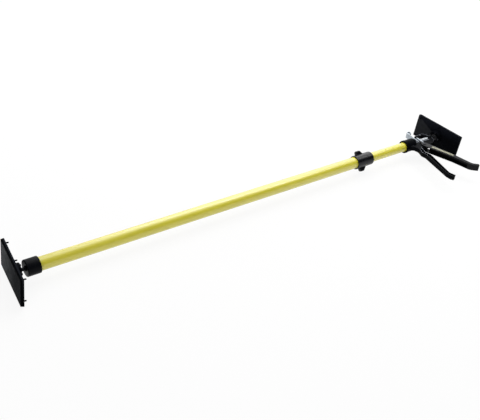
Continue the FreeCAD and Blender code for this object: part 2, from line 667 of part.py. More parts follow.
# head frame: tube socket, C round the rod, fixed handle
frame = piece("head_frame")
turn(frame, (("0", "0"), ("0", "collar_radius + collar_step", "1"),
             ("collar_lip", "collar_radius + collar_step"), ("collar_lip + 2", "collar_radius"),
             ("collar_length", "collar_radius", "3"), ("collar_length", "0")))
c_shape = outline(sketch_on(frame, "XY_Plane"),
                  (("block_end", "-rail_top", "3"), ("window_end", "-rail_top", "3"),
                   ("window_end", "window_top", "4"), ("block_end + hook_gap", "window_top"),
                   ("block_end + hook_gap", "window_top + hook_thick", "1"),
                   ("window_end + front_wall / 4", "window_top + hook_thick", "9"),
                   ("frame_length", "nose_half", "6"), ("frame_length", "-nose_half", "6"),
                   ("window_end - front_wall / 4", "-pivot_drop - 3", "10"),
                   ("pivot_x + lug_dia / 2 + 2", "-pivot_drop - lug_dia / 3", "6"),
                   ("pivot_x - 2", "-pivot_drop - lug_dia / 2", "10"), ("socket_depth", "-pivot_drop - 2"),
                   ("socket_depth", "fulcrum_high + fulcrum_thick / 2"),
                   ("fulcrum_x - fulcrum_thick / 4", "fulcrum_high + fulcrum_thick / 2"),
                   ("fulcrum_x", "fulcrum_high"),
                   ("fulcrum_x - fulcrum_thick / 4", "fulcrum_high - fulcrum_thick / 2"),
                   ("block_end", "fulcrum_high - fulcrum_thick / 2", "1")))
pad(frame, c_shape, "frame_thick", middle=True)
turn(frame, (("window_end", "0"), ("window_end", "boss_dia / 2"), ("frame_length", "boss_dia / 2", "2"),
             ("frame_length", "0")))


def handle_corners(inset, root, end):
    """Outline of the fixed handle, brought in by an inset; root and end are its corners at the collar."""
    return root + (("neck_x - neck_half + " + inset, "-neck_drop", "8"),
                   ("grip_x - grip_half + " + inset, "-grip_drop + 4", "9"),
                   ("wrist_x - wrist_half + " + inset, "-wrist_drop", "18"),
                   ("wrist_x - wrist_half + 1 + " + inset, "-tip_drop + 7 + " + inset, "6"),
                   ("tip_x - wrist_half + " + inset, "-tip_drop - 2 + " + inset, "2"),
                   ("tip_x + wrist_half - " + inset, "-tip_drop + 2 + " + inset, "2"),
                   ("wrist_x + wrist_half - " + inset, "-wrist_drop - 1", "18"),
                   ("grip_x + grip_half - " + inset, "-grip_drop - 3", "10"),
                   ("neck_x + neck_half - " + inset, "-neck_drop - 1", "7")) + end


shoulder = (("6", "-collar_radius + 5"), ("neck_x - 1", "-collar_radius - 6", "9"),
            ("neck_x + 2.5", "-neck_drop + 22", "12"))
throat = (("neck_x + neck_half + 8", "-neck_drop + 17", "10"),
          ("neck_x + neck_half + 15", "-neck_drop + 33", "8"),
          ("neck_x + neck_half + 15", "-collar_radius + 5"))
rim = outline(sketch_on(frame, "XY_Plane"), handle_corners("0", shoulder, throat))
pad(frame, rim, "frame_thick", middle=True)
for side in (1, -1):
    recess = sketch_on(frame, "XY_Plane", "%d * frame_thick / 2" % side)
    outline(recess, handle_corners("handle_rim", (("neck_x + 2.5 + handle_rim", "-neck_drop + 22", "2"),),
                                   (("neck_x + neck_half + 8 - handle_rim", "-neck_drop + 17", "2"),)))
    cut(frame, recess, "(frame_thick - handle_web) / 2", back=side < 0)
turn(frame, (("-1", "0"), ("-1", "inner_dia / 2"), ("socket_depth", "inner_dia / 2"),
             ("socket_depth", "rod_dia / 2 + fit"), ("block_end + 1", "rod_dia / 2 + fit"),
             ("block_end + 1", "0")), "Groove")
turn(frame, (("window_end - 1", "0"), ("window_end - 1", "bush_dia / 2"),
             ("frame_length + 1", "bush_dia / 2"), ("frame_length + 1", "0")), "Groove")
pin_hole = circle(sketch_on(frame, "XY_Plane"), "pivot_x", "-pivot_drop", "pin_dia")
cut(frame, pin_hole, "frame_thick + 2", middle=True)
rivet_hole(frame, "socket_depth / 2", "inner_dia + 2 * collar_wall")
place(frame, x="frame_x")

rivet("head_rivet", "frame_x + socket_depth / 2", "collar_radius",
      "collar_radius - inner_dia / 2 + inner_wall + 1")

rod_bush = piece("rod_bush")
turn(rod_bush, (("0", "rod_dia / 2 + fit"), ("0", "bush_dia / 2"), ("front_wall", "bush_dia / 2"),
                ("front_wall", "bush_dia / 2 + 2 * bush_flange"),
                ("front_wall + bush_flange", "bush_dia / 2 + 2 * bush_flange", "0.5"),
                ("front_wall + bush_flange", "rod_dia / 2 + fit")))
place(rod_bush, x="frame_x + window_end")

trigger_pin = piece("trigger_pin")
pin_end = "-trigger_half - gap - clip_thick - 1"
turn(trigger_pin, ((pin_end, "0"), (pin_end, "pin_dia / 2"),
                   ("trigger_half + gap", "pin_dia / 2"), ("trigger_half + gap", "pin_head_dia / 2"),
                   ("trigger_half + gap + pin_head_height", "pin_head_dia / 2", "1"),
                   ("trigger_half + gap + pin_head_height", "0")))
place(trigger_pin, x="frame_x + pivot_x", y="-pivot_drop", axis=(0, 1, 0), angle="-90")

pin_clip = piece("pin_clip")
open_ring = circle(circle(sketch_on(pin_clip, "XY_Plane"), "0", "0", "clip_dia"), "0", "0", "pin_dia")
pad(pin_clip, open_ring, "clip_thick")
mouth = box(sketch_on(pin_clip, "XY_Plane"), "0", "clip_dia", "-pin_dia / 3", "pin_dia / 3")
cut(pin_clip, mouth, "clip_thick", back=True)
place(pin_clip, x="frame_x + pivot_x", y="-pivot_drop", z="-trigger_half - gap - clip_thick")

# push rod and head swivel
push_rod = piece("push_rod")
turn(push_rod, (("-rod_length", "0"), ("-rod_length", "rod_dia / 2", "1"), ("0", "rod_dia / 2"),
                ("0", "shank_dia / 2"), ("-shank_length", "shank_dia / 2"), ("-shank_length", "0")))
place(push_rod, x="rod_front_x")

rod_stop = piece("rod_stop")
turn(rod_stop, (("0", "rod_dia / 2"), ("0", "stop_dia / 2", "1"), ("stop_length", "stop_dia / 2", "1"),
                ("stop_length", "rod_dia / 2")))
place(rod_stop, x="rod_front_x - rod_length + 2")

ball_stud("head_ball_stud", "shank_length", "shank_dia", "head_ball_x", "180")
swivel("head", "head_ball_x", "180 + head_turn", "head_tip", "head_roll")

# trigger with its two horns
trigger = piece("trigger")
lever = outline(sketch_on(trigger, "XY_Plane"),
                (("-horn_radius", "horn_reach + horn_radius", "horn_radius * 0.95"),
                 ("horn_radius", "horn_reach + horn_radius", "horn_radius * 0.95"),
                 ("horn_radius", "root_radius * 0.7", "2"), ("root_radius", "root_radius / 3", "5"),
                 ("arm_half + 12", "-root_radius * 2.4", "30"),
                 ("arm_x + arm_half", "-arm_drop", "120"), ("heel_x + heel_half", "-heel_drop - 2", "22"),
                 ("toe_x + heel_half * 0.6", "-toe_drop + heel_half * 0.7", "2"),
                 ("toe_x - heel_half * 0.3", "-toe_drop - heel_half", "2"),
                 ("heel_x - heel_half", "-heel_drop - 6", "26"), ("arm_x - arm_half", "-arm_drop - 4", "120"),
                 ("-root_radius", "-root_radius * 0.9", "9"), ("-root_radius", "root_radius / 3", "6"),
                 ("-horn_radius", "root_radius * 1.1", "3")))
pad(trigger, lever, "2 * trigger_half", middle=True)
channel = outline(sketch_on(trigger, "XY_Plane"),
                  (("-3 * root_radius", "2 * horn_reach"), ("arm_x + 2 * arm_half", "2 * horn_reach"),
                   ("arm_x + 2 * arm_half", "-web_start"), ("arm_half + 9 - web_wall", "-web_start"),
                   ("arm_x + arm_half - web_wall", "-arm_drop", "120"),
                   ("heel_x + heel_half - web_wall", "-heel_drop + 6"),
                   ("-3 * root_radius", "-heel_drop + 6")))
cut(trigger, channel, "2 * (trigger_half - flange_wall)", middle=True)
pivot_hole = circle(sketch_on(trigger, "XY_Plane"), "0", "0", "pin_dia + 2 * fit")
cut(trigger, pivot_hole, "2 * trigger_half + 2", middle=True)
place(trigger, x="frame_x + pivot_x", y="-pivot_drop")

trigger_strip = piece("trigger_strip")
strip_end = "strip_start + strip_length"
label_area = outline(sketch_on(trigger_strip, "XY_Plane"),
                     (("strip_start", "-strip_width / 2", "1"), (strip_end, "-strip_width / 2", "1"),
                      (strip_end, "strip_width / 2", "1"), ("strip_start", "strip_width / 2", "1")))
pad(trigger_strip, label_area, "strip_thick")
place(trigger_strip, x="frame_x + pivot_x", y="-pivot_drop", z="trigger_half", axis=(0, 0, 1),
      angle="atan2(-arm_drop; arm_x)")

# drive plate, release plate and springs
drive_plate = piece("drive_plate")
leg_end, slot_side = "-rail_top - drive_leg", "frame_thick / 2 + gap"
fork = outline(sketch_on(drive_plate, "YZ_Plane"),
               ((leg_end, "-drive_half", "1"), ("drive_top", "-drive_half", "3"),
                ("drive_top", "drive_half", "3"), (leg_end, "drive_half", "1"),
                (leg_end, slot_side, "1"), ("-rail_top + gap", slot_side),
                ("-rail_top + gap", "-(" + slot_side + ")"), (leg_end, "-(" + slot_side + ")", "1")))
circle(fork, "0", "0", "rod_dia + 2 * gap")
pad(drive_plate, fork, "drive_thick")
place(drive_plate, x="frame_x + drive_x")

release_plate = piece("release_plate")
flat = box(sketch_on(release_plate, "XY_Plane"), "0", "release_thick", "-release_tail", "eye_high")
pad(release_plate, flat, "2 * release_half", middle=True)
eye_at = ("eye_radius", "eye_high")
eye = circle(sketch_on(release_plate, "XY_Plane"), *eye_at, "2 * eye_radius")
circle(eye, *eye_at, "2 * (eye_radius - release_thick)")
pad(release_plate, eye, "2 * release_half", middle=True)
rod_hole = circle(sketch_on(release_plate, "YZ_Plane"), "-fulcrum_high", "0", "rod_dia + 4 * gap")
cut(release_plate, rod_hole, "release_thick + 1", back=True)
place(release_plate, x="frame_x + fulcrum_x + fit", y="fulcrum_high", axis=(0, 0, 1), angle="-release_tilt")

spring("return_spring", "drive_x + drive_thick + gap", "window_end - gap", "wire_dia", "wire_turns")
spring("release_spring", "release_front", "drive_x - gap", "release_wire", "release_turns")

# look at every piece, then write it
doc.recompute()
for item in doc.Objects:
    if "Invalid" in item.State or "Error" in item.State:
        raise ValueError("%s did not build: %s" % (item.Name, item.State))
os.makedirs("parts", exist_ok=True)
for body in pieces:
    shape = body.Shape
    if shape.isNull() or not shape.isValid() or shape.Volume <= 0:
        raise ValueError(body.Label + " has no valid solid")
    shape.exportStep("parts/" + body.Label + ".step")
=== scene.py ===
import json
import math

import bpy
import numpy as np
from mathutils import Matrix, Vector


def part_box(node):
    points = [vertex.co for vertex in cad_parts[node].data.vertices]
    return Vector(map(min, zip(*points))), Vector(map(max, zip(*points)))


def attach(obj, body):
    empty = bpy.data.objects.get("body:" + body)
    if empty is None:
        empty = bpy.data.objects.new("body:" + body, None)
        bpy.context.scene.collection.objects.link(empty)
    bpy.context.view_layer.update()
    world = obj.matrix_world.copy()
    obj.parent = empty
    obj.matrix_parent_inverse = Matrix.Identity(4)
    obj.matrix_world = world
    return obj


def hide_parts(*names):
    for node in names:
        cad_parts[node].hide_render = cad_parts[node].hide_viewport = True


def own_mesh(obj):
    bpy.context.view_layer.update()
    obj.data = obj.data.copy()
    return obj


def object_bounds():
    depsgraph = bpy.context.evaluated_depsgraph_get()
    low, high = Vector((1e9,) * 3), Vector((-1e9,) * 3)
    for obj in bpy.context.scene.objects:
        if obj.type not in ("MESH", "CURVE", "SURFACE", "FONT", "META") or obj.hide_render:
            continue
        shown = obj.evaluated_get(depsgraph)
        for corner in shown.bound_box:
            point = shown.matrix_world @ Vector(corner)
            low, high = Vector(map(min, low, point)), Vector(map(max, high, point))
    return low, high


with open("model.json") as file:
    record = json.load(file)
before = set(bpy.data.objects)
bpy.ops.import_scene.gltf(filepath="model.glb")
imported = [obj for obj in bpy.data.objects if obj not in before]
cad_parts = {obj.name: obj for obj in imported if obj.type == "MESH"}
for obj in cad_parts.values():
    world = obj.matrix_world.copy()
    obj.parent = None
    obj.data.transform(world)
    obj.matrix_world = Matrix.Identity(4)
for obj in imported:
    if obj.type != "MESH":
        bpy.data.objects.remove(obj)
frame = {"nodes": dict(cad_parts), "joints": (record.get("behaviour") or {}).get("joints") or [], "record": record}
cad_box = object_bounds()
nodes = frame["nodes"]
joints = {row["name"]: row for row in frame["joints"]}
scene = bpy.context.scene
scene.view_settings.view_transform = "Standard"

# Camera fitted to the photo: place in metres, directions in the row frame, lens in millimetres
CAMERA_PLACE = (-0.5534, -1.5343, 1.3311)
CAMERA_RIGHT = (0.8072, -0.5817, 0.0998)
CAMERA_UP = (0.2663, 0.5097, 0.8180)
FOCAL_LENGTH = 60
SENSOR_WIDTH = 36

# Sizes that no node's box gives, in metres
TUBE_WALL = 0.0012
PLATE_HALF_LENGTH = 0.0918
PLATE_HALF_WIDTH = 0.0425
NUB_ALONG = (-0.07875, 0, 0.07875)
NUB_ACROSS = (-0.0345, 0.0345)
NUB_RADIUS = 0.002

# The head plate's roll about the prop's axis
HEAD_ROLL = math.radians(-2.5)


def photo_camera():
    """The photo's camera: X is the picture's right, Y the picture's up, and it looks along minus Z."""
    lens = bpy.data.cameras.new("camera")
    lens.sensor_fit = "HORIZONTAL"
    lens.sensor_width = SENSOR_WIDTH
    lens.lens = FOCAL_LENGTH
    lens.clip_start = 0.05
    lens.clip_end = 60
    camera = bpy.data.objects.new("camera", lens)
    scene.collection.objects.link(camera)
    scene.camera = camera
    right = Vector(CAMERA_RIGHT).normalized()
    up = Vector(CAMERA_UP).normalized()
    turn = Matrix((right, up, right.cross(up))).transposed().to_4x4()
    camera.matrix_world = Matrix.Translation(CAMERA_PLACE) @ turn


photo_camera()


def softbox(name, place, target, width, height, power):
    """A plain rectangular studio lamp that points from its place at the target."""
    lamp = bpy.data.lights.new(name, "AREA")
    lamp.shape = "RECTANGLE"
    lamp.size = width
    lamp.size_y = height
    lamp.energy = power
    thing = bpy.data.objects.new(name, lamp)
    scene.collection.objects.link(thing)
    thing.location = place
    thing.rotation_mode = "QUATERNION"
    thing.rotation_quaternion = (Vector(target) - Vector(place)).to_track_quat("-Z", "Y")


softbox("top_lamp", (2.5, 1.0, 2.4), (2.5, 1.0, 0), width=4.6, height=2.5, power=75)
softbox("strip_lamp", (2.1, 0.75, 2.35), (1.2, 0, 0), width=3.2, height=0.22, power=28)
softbox("side_lamp", (3.4, -0.72, 2.4), (3.4, -0.72, 0), width=2.0, height=0.95, power=10)
softbox("back_lamp", (2.6, 2.8, 1.5), (1.0, 0, 0), width=3.8, height=1.9, power=58)
softbox("fill_lamp", (-2.3, -1.9, 1.5), (0.7, 0, 0), width=1.8, height=1.8, power=26)


def studio_world():
    """Room light by height: a pale band at the horizon, a dim wall above it and a brighter ceiling.

    Each band is a height, from 0 at the horizon to 1 overhead, and a level."""
    bands = ((0.0, 0.9), (0.08, 0.9), (0.22, 0.06), (0.62, 0.09), (0.85, 0.45))
    blue = 1.01
    world = bpy.data.worlds.new("studio")
    scene.world = world
    world.use_nodes = True
    sky = world.node_tree
    sky.nodes.clear()
    place = sky.nodes.new("ShaderNodeTexCoord")
    parts = sky.nodes.new("ShaderNodeSeparateXYZ")
    ramp = sky.nodes.new("ShaderNodeValToRGB")
    room = sky.nodes.new("ShaderNodeBackground")
    out = sky.nodes.new("ShaderNodeOutputWorld")
    while len(ramp.color_ramp.elements) < len(bands):
        ramp.color_ramp.elements.new(0.5)
    for element, (height, level) in zip(ramp.color_ramp.elements, bands):
        element.position = height
        element.color = (level, level, level * blue, 1)
    sky.links.new(place.outputs["Generated"], parts.inputs[0])
    sky.links.new(parts.outputs["Z"], ramp.inputs["Fac"])
    sky.links.new(ramp.outputs["Color"], room.inputs["Color"])
    sky.links.new(room.outputs[0], out.inputs["Surface"])


studio_world()


class Finish:
    """A material under construction: the shader, the place on the piece, and short ways to add nodes.

    Scales are per metre. A Mix node's colour sockets share their names with its number sockets, so they are
    found by their places."""

    MIX_ONE, MIX_TWO, MIX_OUT = 6, 7, 2

    def __init__(self, name):
        self.material = bpy.data.materials.new(name)
        self.material.use_nodes = True
        self.tree = self.material.node_tree
        self.tree.nodes.clear()
        self.shader = self.add("ShaderNodeBsdfPrincipled")
        self.end = self.add("ShaderNodeOutputMaterial")
        self.join(self.shader.outputs["BSDF"], self.end.inputs["Surface"])
        self.place = self.add("ShaderNodeTexCoord").outputs["Object"]

    def add(self, kind):
        return self.tree.nodes.new(kind)

    def join(self, source, socket):
        """Links a socket to another, or writes a plain value on it."""
        if isinstance(source, bpy.types.NodeSocket):
            self.tree.links.new(source, socket)
        elif source is not None:
            socket.default_value = source

    def set(self, **values):
        """Writes plain values, or links, on the shader's own sockets."""
        for name, value in values.items():
            self.join(value, self.shader.inputs[name.replace("_", " ")])

    def noise(self, scale, detail, rough, where=None, warp=0.0):
        """Cloudy noise about 0.5."""
        node = self.add("ShaderNodeTexNoise")
        self.join(where or self.place, node.inputs["Vector"])
        self.join(scale, node.inputs["Scale"])
        self.join(detail, node.inputs["Detail"])
        self.join(rough, node.inputs["Roughness"])
        self.join(warp, node.inputs["Distortion"])
        return node.outputs["Fac"]

    def streaks(self, scales, detail, rough):
        """Noise with its own scale along X, Y and Z, so that it is drawn out along one of them."""
        node = self.add("ShaderNodeMapping")
        self.join(self.place, node.inputs["Vector"])
        self.join(scales, node.inputs["Scale"])
        return self.noise(1.0, detail, rough, where=node.outputs[0])

    def cells(self, scale):
        """The distance to the nearest of many scattered points."""
        node = self.add("ShaderNodeTexVoronoi")
        self.join(self.place, node.inputs["Vector"])
        self.join(scale, node.inputs["Scale"])
        return node.outputs["Distance"]

    def math(self, kind, one, two=None, three=None):
        node = self.add("ShaderNodeMath")
        node.operation = kind
        for source, socket in zip((one, two, three), node.inputs):
            self.join(source, socket)
        return node.outputs[0]

    def times(self, one, two):
        return self.math("MULTIPLY", one, two)

    def plus(self, one, two):
        return self.math("ADD", one, two)

    def dot(self, one, two):
        """The dot product of two vectors."""
        node = self.add("ShaderNodeVectorMath")
        node.operation = "DOT_PRODUCT"
        self.join(one, node.inputs[0])
        self.join(two, node.inputs[1])
        return node.outputs["Value"]

    def fit(self, source, low, high, new_low=0.0, new_high=1.0):
        """Maps low..high to new_low..new_high in a smooth step."""
        node = self.add("ShaderNodeMapRange")
        node.interpolation_type = "SMOOTHSTEP"
        for value, socket in zip((source, low, high, new_low, new_high), node.inputs):
            self.join(value, socket)
        return node.outputs[0]

    def blend(self, share, one, two):
        """A colour between two colours."""
        node = self.add("ShaderNodeMix")
        node.data_type = "RGBA"
        self.join(share, node.inputs["Factor"])
        self.join(one, node.inputs[self.MIX_ONE])
        self.join(two, node.inputs[self.MIX_TWO])
        return node.outputs[self.MIX_OUT]

    def axis(self, which):
        """One coordinate of the place on the piece."""
        node = self.add("ShaderNodeSeparateXYZ")
        self.join(self.place, node.inputs[0])
        return node.outputs["XYZ".index(which)]

    def edges(self, radius):
        """The normal rounded over sharp edges, and how far each place is up an edge, from 0 to 1."""
        flat_cosine, edge_cosine = 0.99, 0.80
        node = self.add("ShaderNodeBevel")
        node.samples = 6
        self.join(radius, node.inputs["Radius"])
        flat = self.add("ShaderNodeNewGeometry").outputs["Normal"]
        return node.outputs[0], self.fit(self.dot(node.outputs[0], flat), flat_cosine, edge_cosine)

    def facing(self, normal, way, low, high):
        """How far a normal looks along a direction of the piece's own frame, from 0 at low to 1 at high."""
        own = self.add("ShaderNodeVectorTransform")
        own.vector_type = "NORMAL"
        own.convert_from = "WORLD"
        own.convert_to = "OBJECT"
        self.join(normal, own.inputs[0])
        return self.fit(self.dot(own.outputs[0], Vector(way).normalized()), low, high)

    def bump(self, height, depth, strength, normal=None):
        """The normal tilted by a height, over a rounded normal where one is given."""
        node = self.add("ShaderNodeBump")
        self.join(height, node.inputs["Height"])
        self.join(depth, node.inputs["Distance"])
        self.join(strength, node.inputs["Strength"])
        self.join(normal, node.inputs["Normal"])
        return node.outputs[0]


def yellow_paint():
    """Glossy yellow paint on tube: faint orange peel, drawn lines, paler clouds and small scuffs."""
    deep, pale = (0.655, 0.585, 0.022, 1), (0.685, 0.615, 0.030, 1)
    line_tone, scuff_tone, rim_tone = (0.60, 0.52, 0.024, 1), (0.46, 0.41, 0.09, 1), (0.60, 0.57, 0.40, 1)
    f = Finish("yellow_paint")
    rim = f.edges(radius=0.0006)[1]
    drawn = f.streaks((5, 700, 700), detail=4, rough=0.6)
    cloud = f.noise(6, detail=4, rough=0.6)
    scuff = f.fit(f.streaks((140, 900, 420), detail=2, rough=0.5), 0.70, 0.76)
    patch = f.fit(f.noise(14, detail=2, rough=0.5), 0.56, 0.68)
    peel = f.noise(420, detail=2, rough=0.5)
    tone = f.blend(f.fit(cloud, 0.3, 0.7), deep, pale)
    tone = f.blend(f.fit(drawn, 0.4, 0.8, 0.0, 0.06), tone, line_tone)
    tone = f.blend(f.times(f.times(scuff, patch), 0.2), tone, scuff_tone)
    tone = f.blend(f.times(rim, 0.5), tone, rim_tone)
    f.set(Base_Color=tone, Coat_Weight=0.8, Coat_Roughness=0.24, Specular_IOR_Level=0.9)
    f.set(Roughness=f.fit(cloud, 0.25, 0.75, 0.32, 0.42))
    f.set(Normal=f.bump(f.math("MULTIPLY_ADD", drawn, 0.2, peel), depth=0.00003, strength=0.05))
    return f.material


def cast_marks(f, rubbed, height):
    """Marks of the cast head frame: the painted edge highlight, full round the mechanism and faint on the handle,
    and a parting line at z 0.
    """
    handle, mechanism, handle_share = -0.10, -0.06, 0.05
    line_edge, line_middle, line_height = 0.00035, 0.0001, 3.0
    # The painted edge highlight, scaled down toward the handle
    rubbed = f.times(rubbed, f.fit(f.axis("Y"), handle, mechanism, handle_share, 1.0))
    line = f.fit(f.math("ABSOLUTE", f.axis("Z")), line_edge, line_middle, 0.0, line_height)
    return rubbed, f.plus(height, line)


def plate_painted_sheen(f, tone):
    """Painted sheen on a swivel plate's back: paler on the slope of its +Y end, and fading in toward its +Z side.
    """
    # Tones of the painted sheen on the side and on the slope
    side_sheen_tone, slope_sheen_tone = (0.015, 0.017, 0.024, 1), (0.021, 0.022, 0.025, 1)
    side_start, side_end = 0.005, 0.042
    across = f.math("DIVIDE", f.math("ABSOLUTE", f.axis("Z")), PLATE_HALF_WIDTH)
    along = f.math("DIVIDE", f.axis("Y"), PLATE_HALF_LENGTH)
    slope = f.fit(f.math("SUBTRACT", along, across), -0.02, 0.05)
    cloud = f.fit(f.noise(70, detail=4, rough=0.7), 0.25, 0.75, 0.55, 1.0)
    tone = f.blend(f.times(f.fit(f.axis("Z"), side_start, side_end), 0.5), tone, side_sheen_tone)
    return f.blend(f.times(slope, cloud), tone, slope_sheen_tone)


def moulded_black(name, colour, rough, shine, grain, edge_highlight_share=0.2, round_off=0.0009, pale=0.17, extra=None):
    """Moulded black plastic: spark grain, flow clouds, dust, and a painted highlight on edges that look up and
    ahead.

    The highlight share is the share of the pale painted highlight tone on such an edge, and pale is its level.
    The extra is cast, for cast_marks, or a painted sheen on a swivel plate's back."""
    dust_tone = (0.08, 0.085, 0.095, 1)
    # Edges that look along this way, up and toward +X and +Y, take a painted highlight
    highlight_way = (0.62, 0.45, 0.64)
    f = Finish(name)
    normal, edge = f.edges(round_off)
    cloud = f.noise(26, detail=4, rough=0.6)
    rubbed = f.times(edge, f.facing(normal, highlight_way, 0.35, 0.85))
    light = tuple(c * 1.6 + 0.001 for c in colour)
    tone = f.blend(f.fit(cloud, 0.3, 0.75), (*colour, 1), (*light, 1))
    dust = f.fit(f.noise(900, detail=2, rough=0.5), 0.66, 0.76, 0.0, 0.05)
    tone = f.blend(dust, tone, dust_tone)
    height = f.plus(f.noise(grain, detail=2, rough=0.6), f.times(f.cells(grain * 0.6), 0.6))
    if extra == "cast":
        rubbed, height = cast_marks(f, rubbed, height)
    # A swivel plate's back takes a painted sheen
    if extra == "painted_sheen":
        tone = plate_painted_sheen(f, tone)
    # Painted highlight: the pale tone laid on the edges that look along that way
    tone = f.blend(f.times(rubbed, edge_highlight_share), tone, (pale, pale * 1.05, pale * 1.2, 1))
    f.set(Base_Color=tone, Specular_IOR_Level=shine)
    f.set(Roughness=f.fit(cloud, 0.2, 0.8, rough - 0.05, rough + 0.06))
    f.set(Normal=f.bump(height, depth=0.00006, strength=0.25))
    return f.material


def pad_rubber():
    """Dark rubber facing: pebbled and blotched, with a painted sheen paler toward one end, a black border and
    nubs.
    """
    deep, blotch_tone = (0.0075, 0.0082, 0.0096, 1), (0.0190, 0.0200, 0.0225, 1)
    face_sheen_tone, pit_tone = (0.105, 0.109, 0.114, 1), (0.008, 0.0084, 0.0094, 1)
    border_tone, rim_tone = (0.0022, 0.0024, 0.0032, 1), (0.05, 0.052, 0.056, 1)
    # Where the painted sheen starts and ends along Y, paler toward +Y
    face_sheen_start, face_sheen_end = -0.07, 0.13
    f = Finish("pad_rubber")
    normal, rim = f.edges(radius=0.0008)
    blotch = f.noise(52, detail=5, rough=0.72, warp=0.5)
    pebble = f.cells(700)
    along = f.math("MULTIPLY_ADD", f.math("SUBTRACT", blotch, 0.5), 0.16, f.axis("Y"))
    border = f.add("ShaderNodeAttribute")
    border.attribute_name = "border"
    tone = f.blend(f.fit(blotch, 0.3, 0.7), deep, blotch_tone)
    # Painted sheen: the face painted paler toward its +Y end
    tone = f.blend(f.fit(along, face_sheen_start, face_sheen_end), tone, face_sheen_tone)
    tone = f.blend(f.fit(pebble, 0.2, 0.65, 0.45, 0.0), tone, pit_tone)
    tone = f.blend(border.outputs["Fac"], tone, border_tone)
    tone = f.blend(f.times(rim, 0.08), tone, rim_tone)
    f.set(Base_Color=tone, Specular_IOR_Level=0.004)
    f.set(Roughness=f.fit(blotch, 0.2, 0.8, 0.56, 0.72))
    height = f.plus(pebble, f.noise(1500, detail=2, rough=0.5))
    f.set(Normal=f.bump(height, depth=0.0002, strength=0.5, normal=normal))
    return f.material


def zinc_plate(name, colour, rough, run):
    """Zinc plated steel: a fine crystal mottle, rolling lines, duller spots and brighter rubbed edges."""
    f = Finish(name)
    normal, rim = f.edges(radius=0.0004)
    mottle = f.noise(160, detail=4, rough=0.65, warp=0.6)
    lines = f.streaks(run, detail=3, rough=0.6)
    dull = tuple(c * 0.74 for c in colour)
    bright = tuple(min(c * 1.75, 0.92) for c in colour)
    tone = f.blend(f.fit(mottle, 0.3, 0.75), (*colour, 1), (*dull, 1))
    tone = f.blend(f.times(rim, 0.5), tone, (*bright, 1))
    f.set(Base_Color=tone, Metallic=1.0)
    worn = f.math("MULTIPLY_ADD", lines, 0.4, mottle)
    f.set(Roughness=f.fit(worn, 0.4, 1.0, rough - 0.05, rough + 0.12))
    height = f.math("MULTIPLY_ADD", mottle, 0.5, lines)
    f.set(Normal=f.bump(height, depth=0.00004, strength=0.3, normal=normal))
    return f.material


def blackened_steel():
    """Phosphated black steel: dark grey metal with an uneven oxide bloom and paler rubbed edges."""
    deep, bloom_tone, rim_tone = (0.010, 0.0105, 0.012, 1), (0.026, 0.027, 0.030, 1), (0.09, 0.09, 0.095, 1)
    f = Finish("blackened_steel")
    normal, rim = f.edges(radius=0.0005)
    bloom = f.noise(120, detail=5, rough=0.65)
    tone = f.blend(f.fit(bloom, 0.3, 0.75), deep, bloom_tone)
    tone = f.blend(f.times(rim, 0.35), tone, rim_tone)
    f.set(Base_Color=tone, Metallic=0.7, Specular_IOR_Level=0.3)
    f.set(Roughness=f.fit(bloom, 0.25, 0.8, 0.34, 0.52))
    height = f.noise(800, detail=3, rough=0.6)
    f.set(Normal=f.bump(height, depth=0.00005, strength=0.35, normal=normal))
    return f.material


def strip_film():
    """Plain film: a soft straw tone, worn streaks along it and slightly lifted, rubbed edges."""
    straw, pale = (0.19, 0.185, 0.105, 1), (0.235, 0.23, 0.14, 1)
    worn_tone, rim_tone = (0.10, 0.095, 0.055, 1), (0.62, 0.61, 0.52, 1)
    f = Finish("strip_film")
    normal, rim = f.edges(radius=0.0004)
    cloud = f.noise(60, detail=4, rough=0.6)
    worn = f.fit(f.streaks((160, 300, 900), detail=3, rough=0.6), 0.52, 0.66, 0.0, 0.6)
    tone = f.blend(f.fit(cloud, 0.3, 0.7), straw, pale)
    tone = f.blend(worn, tone, worn_tone)
    tone = f.blend(f.times(rim, 0.4), tone, rim_tone)
    f.set(Base_Color=tone, Coat_Weight=0.3, Coat_Roughness=0.2)
    f.set(Roughness=f.fit(cloud, 0.2, 0.8, 0.34, 0.46))
    height = f.noise(500, detail=3, rough=0.6)
    f.set(Normal=f.bump(height, depth=0.00004, strength=0.4, normal=normal))
    return f.material


def floor_white():
    """White sheet: a glow to camera, mirror and glass rays, and a plain matt white that takes the shadow."""
    glow_share = 0.9
    f = Finish("floor_white")
    f.set(Base_Color=(0.86, 0.86, 0.86, 1), Roughness=0.9, Specular_IOR_Level=0.0)
    glow = f.add("ShaderNodeEmission")
    f.join((1, 1, 1, 1), glow.inputs["Color"])
    f.join(1.0, glow.inputs["Strength"])
    ray = f.add("ShaderNodeLightPath")
    seen = f.math("MAXIMUM", ray.outputs["Is Camera Ray"], ray.outputs["Is Glossy Ray"])
    seen = f.math("MAXIMUM", seen, ray.outputs["Is Transmission Ray"])
    mix = f.add("ShaderNodeMixShader")
    f.join(f.times(seen, glow_share), mix.inputs["Fac"])
    f.join(f.shader.outputs["BSDF"], mix.inputs[1])
    f.join(glow.outputs["Emission"], mix.inputs[2])
    f.join(mix.outputs[0], f.end.inputs["Surface"])
    return f.material


